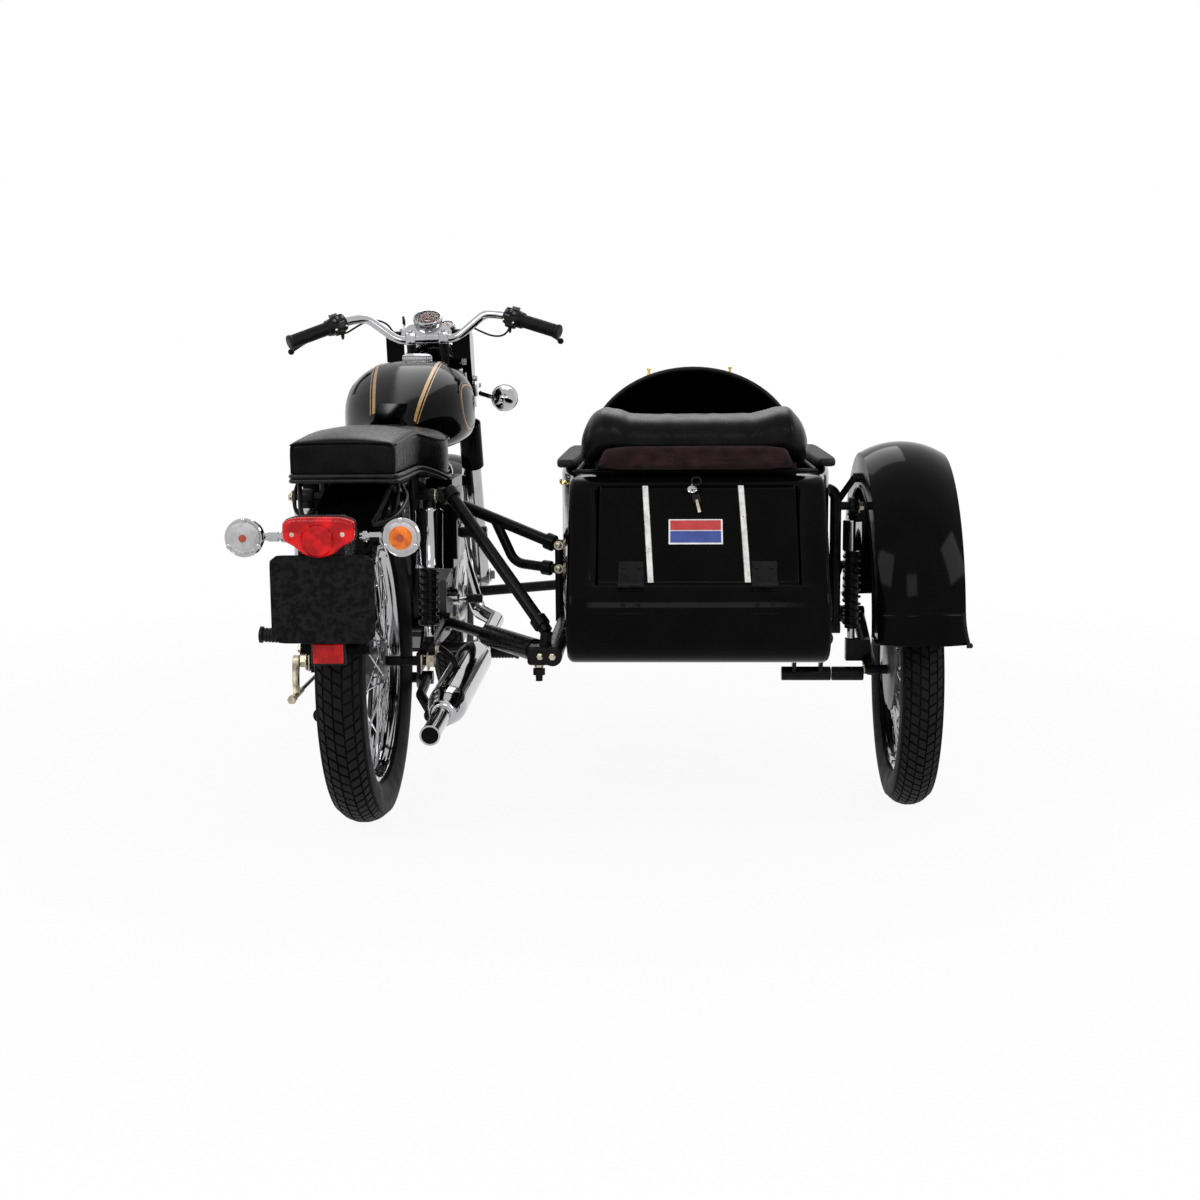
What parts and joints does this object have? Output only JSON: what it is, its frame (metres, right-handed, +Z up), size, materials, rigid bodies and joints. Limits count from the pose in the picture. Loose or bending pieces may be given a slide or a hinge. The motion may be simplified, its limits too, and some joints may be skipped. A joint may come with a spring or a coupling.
{
  "type": "motorcycle with sidecar",
  "caption": "Road motorcycle with a single-seat sidecar on its right side: spoked wheels, teardrop tank, dual seat, headlamp casing, open cockpit tub with boot lid and cowl.",
  "frame": {"origin": "middle of the overall box at floor level", "axes": "+X to the vehicle's right, where the sidecar is, +Y forward, +Z up"},
  "size_m": [1.5341, 2.1584, 1.0696],
  "materials": {
    "tyre_rubber": "matt",
    "chrome": "polished",
    "black_paint": "gloss",
    "cast_alloy": "cast",
    "black_vinyl": "grained vinyl",
    "black_plastic": "satin",
    "red_lens": "gloss",
    "steel": "satin zinc",
    "rubber": "matt",
    "maroon_cloth": "woven",
    "pad_cloth": "woven"
  },
  "bodies": {
    "rear_wheel": {"rear_tyre": "tyre_rubber", "rear_spoked_wheel": "chrome"},
    "front_wheel": {"front_tyre": "tyre_rubber", "front_spoked_wheel": "chrome"},
    "sidecar_wheel": {"sidecar_tyre": "tyre_rubber", "sidecar_spoked_wheel": "chrome"},
    "chassis": {"backbone_tube": "black_paint", "seat_tube": "black_paint", "seat_rails": "black_paint", "swing_arm": "black_paint", "rear_dampers": "chrome", "crankcase": "cast_alloy", "down_tube": "black_paint", "engine_covers": "cast_alloy", "cylinder_barrel": "cast_alloy", "cylinder_head": "cast_alloy", "carburettor": "cast_alloy", "exhaust_pipe": "chrome", "silencer": "chrome", "fuel_tank": "black_paint", "filler_cap": "chrome", "rider_seat": "black_vinyl", "rear_mudguard": "black_paint", "plate_bracket": "black_paint", "number_plate": "black_plastic", "tail_lamp": "red_lens", "rear_indicators": "chrome", "rear_reflector": "red_lens", "drive_chain": "steel", "footrests": "rubber", "foot_controls": "chrome", "tool_boxes": "black_paint", "sidecar_nose": "black_paint", "sidecar_tub": "black_paint", "sidecar_backrest": "black_vinyl", "sidecar_cushion": "maroon_cloth", "deck_pads": "pad_cloth", "sidecar_mudguard": "black_paint", "sidecar_frame": "black_paint", "sidecar_swing_arm": "black_paint", "sidecar_damper": "chrome", "sidecar_struts": "black_paint", "sidecar_beams": "black_paint"},
    "steering": {"front_fork": "black_paint", "fork_shrouds": "black_paint", "lamp_casing": "black_paint", "headlamp": "chrome", "instruments": "black_plastic", "handlebar": "chrome", "grips": "rubber", "hand_controls": "cast_alloy", "front_mudguard": "black_paint", "front_indicators": "chrome"},
    "centre_stand": {"centre_stand": "black_paint"},
    "boot_lid": {"boot_lid": "black_paint"}
  },
  "joints": [
    {"name": "steering_turn", "type": "hinge", "parent": "chassis", "child": "steering", "pos_m": [-0.41995, 0.46058, 0.76031], "axis": [0, -0.4617, 0.887], "range_deg": [-39, 31]},
    {"name": "front_wheel_spin", "type": "hinge", "parent": "steering", "child": "front_wheel", "pos_m": [-0.42413, 0.7547, 0.32493], "axis": [0.9976, 0.0619, 0.0322], "continuous": true},
    {"name": "rear_wheel_spin", "type": "hinge", "parent": "chassis", "child": "rear_wheel", "pos_m": [-0.41995, -0.61517, 0.33], "axis": [1, 0, 0], "continuous": true},
    {"name": "sidecar_wheel_spin", "type": "hinge", "parent": "chassis", "child": "sidecar_wheel", "pos_m": [0.70005, -0.46817, 0.285], "axis": [1, 0, 0], "continuous": true},
    {"name": "boot_lid_hinge", "type": "hinge", "parent": "chassis", "child": "boot_lid", "pos_m": [0.25505, -0.92117, 0.5298], "axis": [1, 0, 0], "range_deg": [0, 105]},
    {"name": "centre_stand_hinge", "type": "hinge", "parent": "chassis", "child": "centre_stand", "pos_m": [-0.41995, -0.28517, 0.232], "axis": [1, 0, 0], "range_deg": [0, 90]}
  ]
}
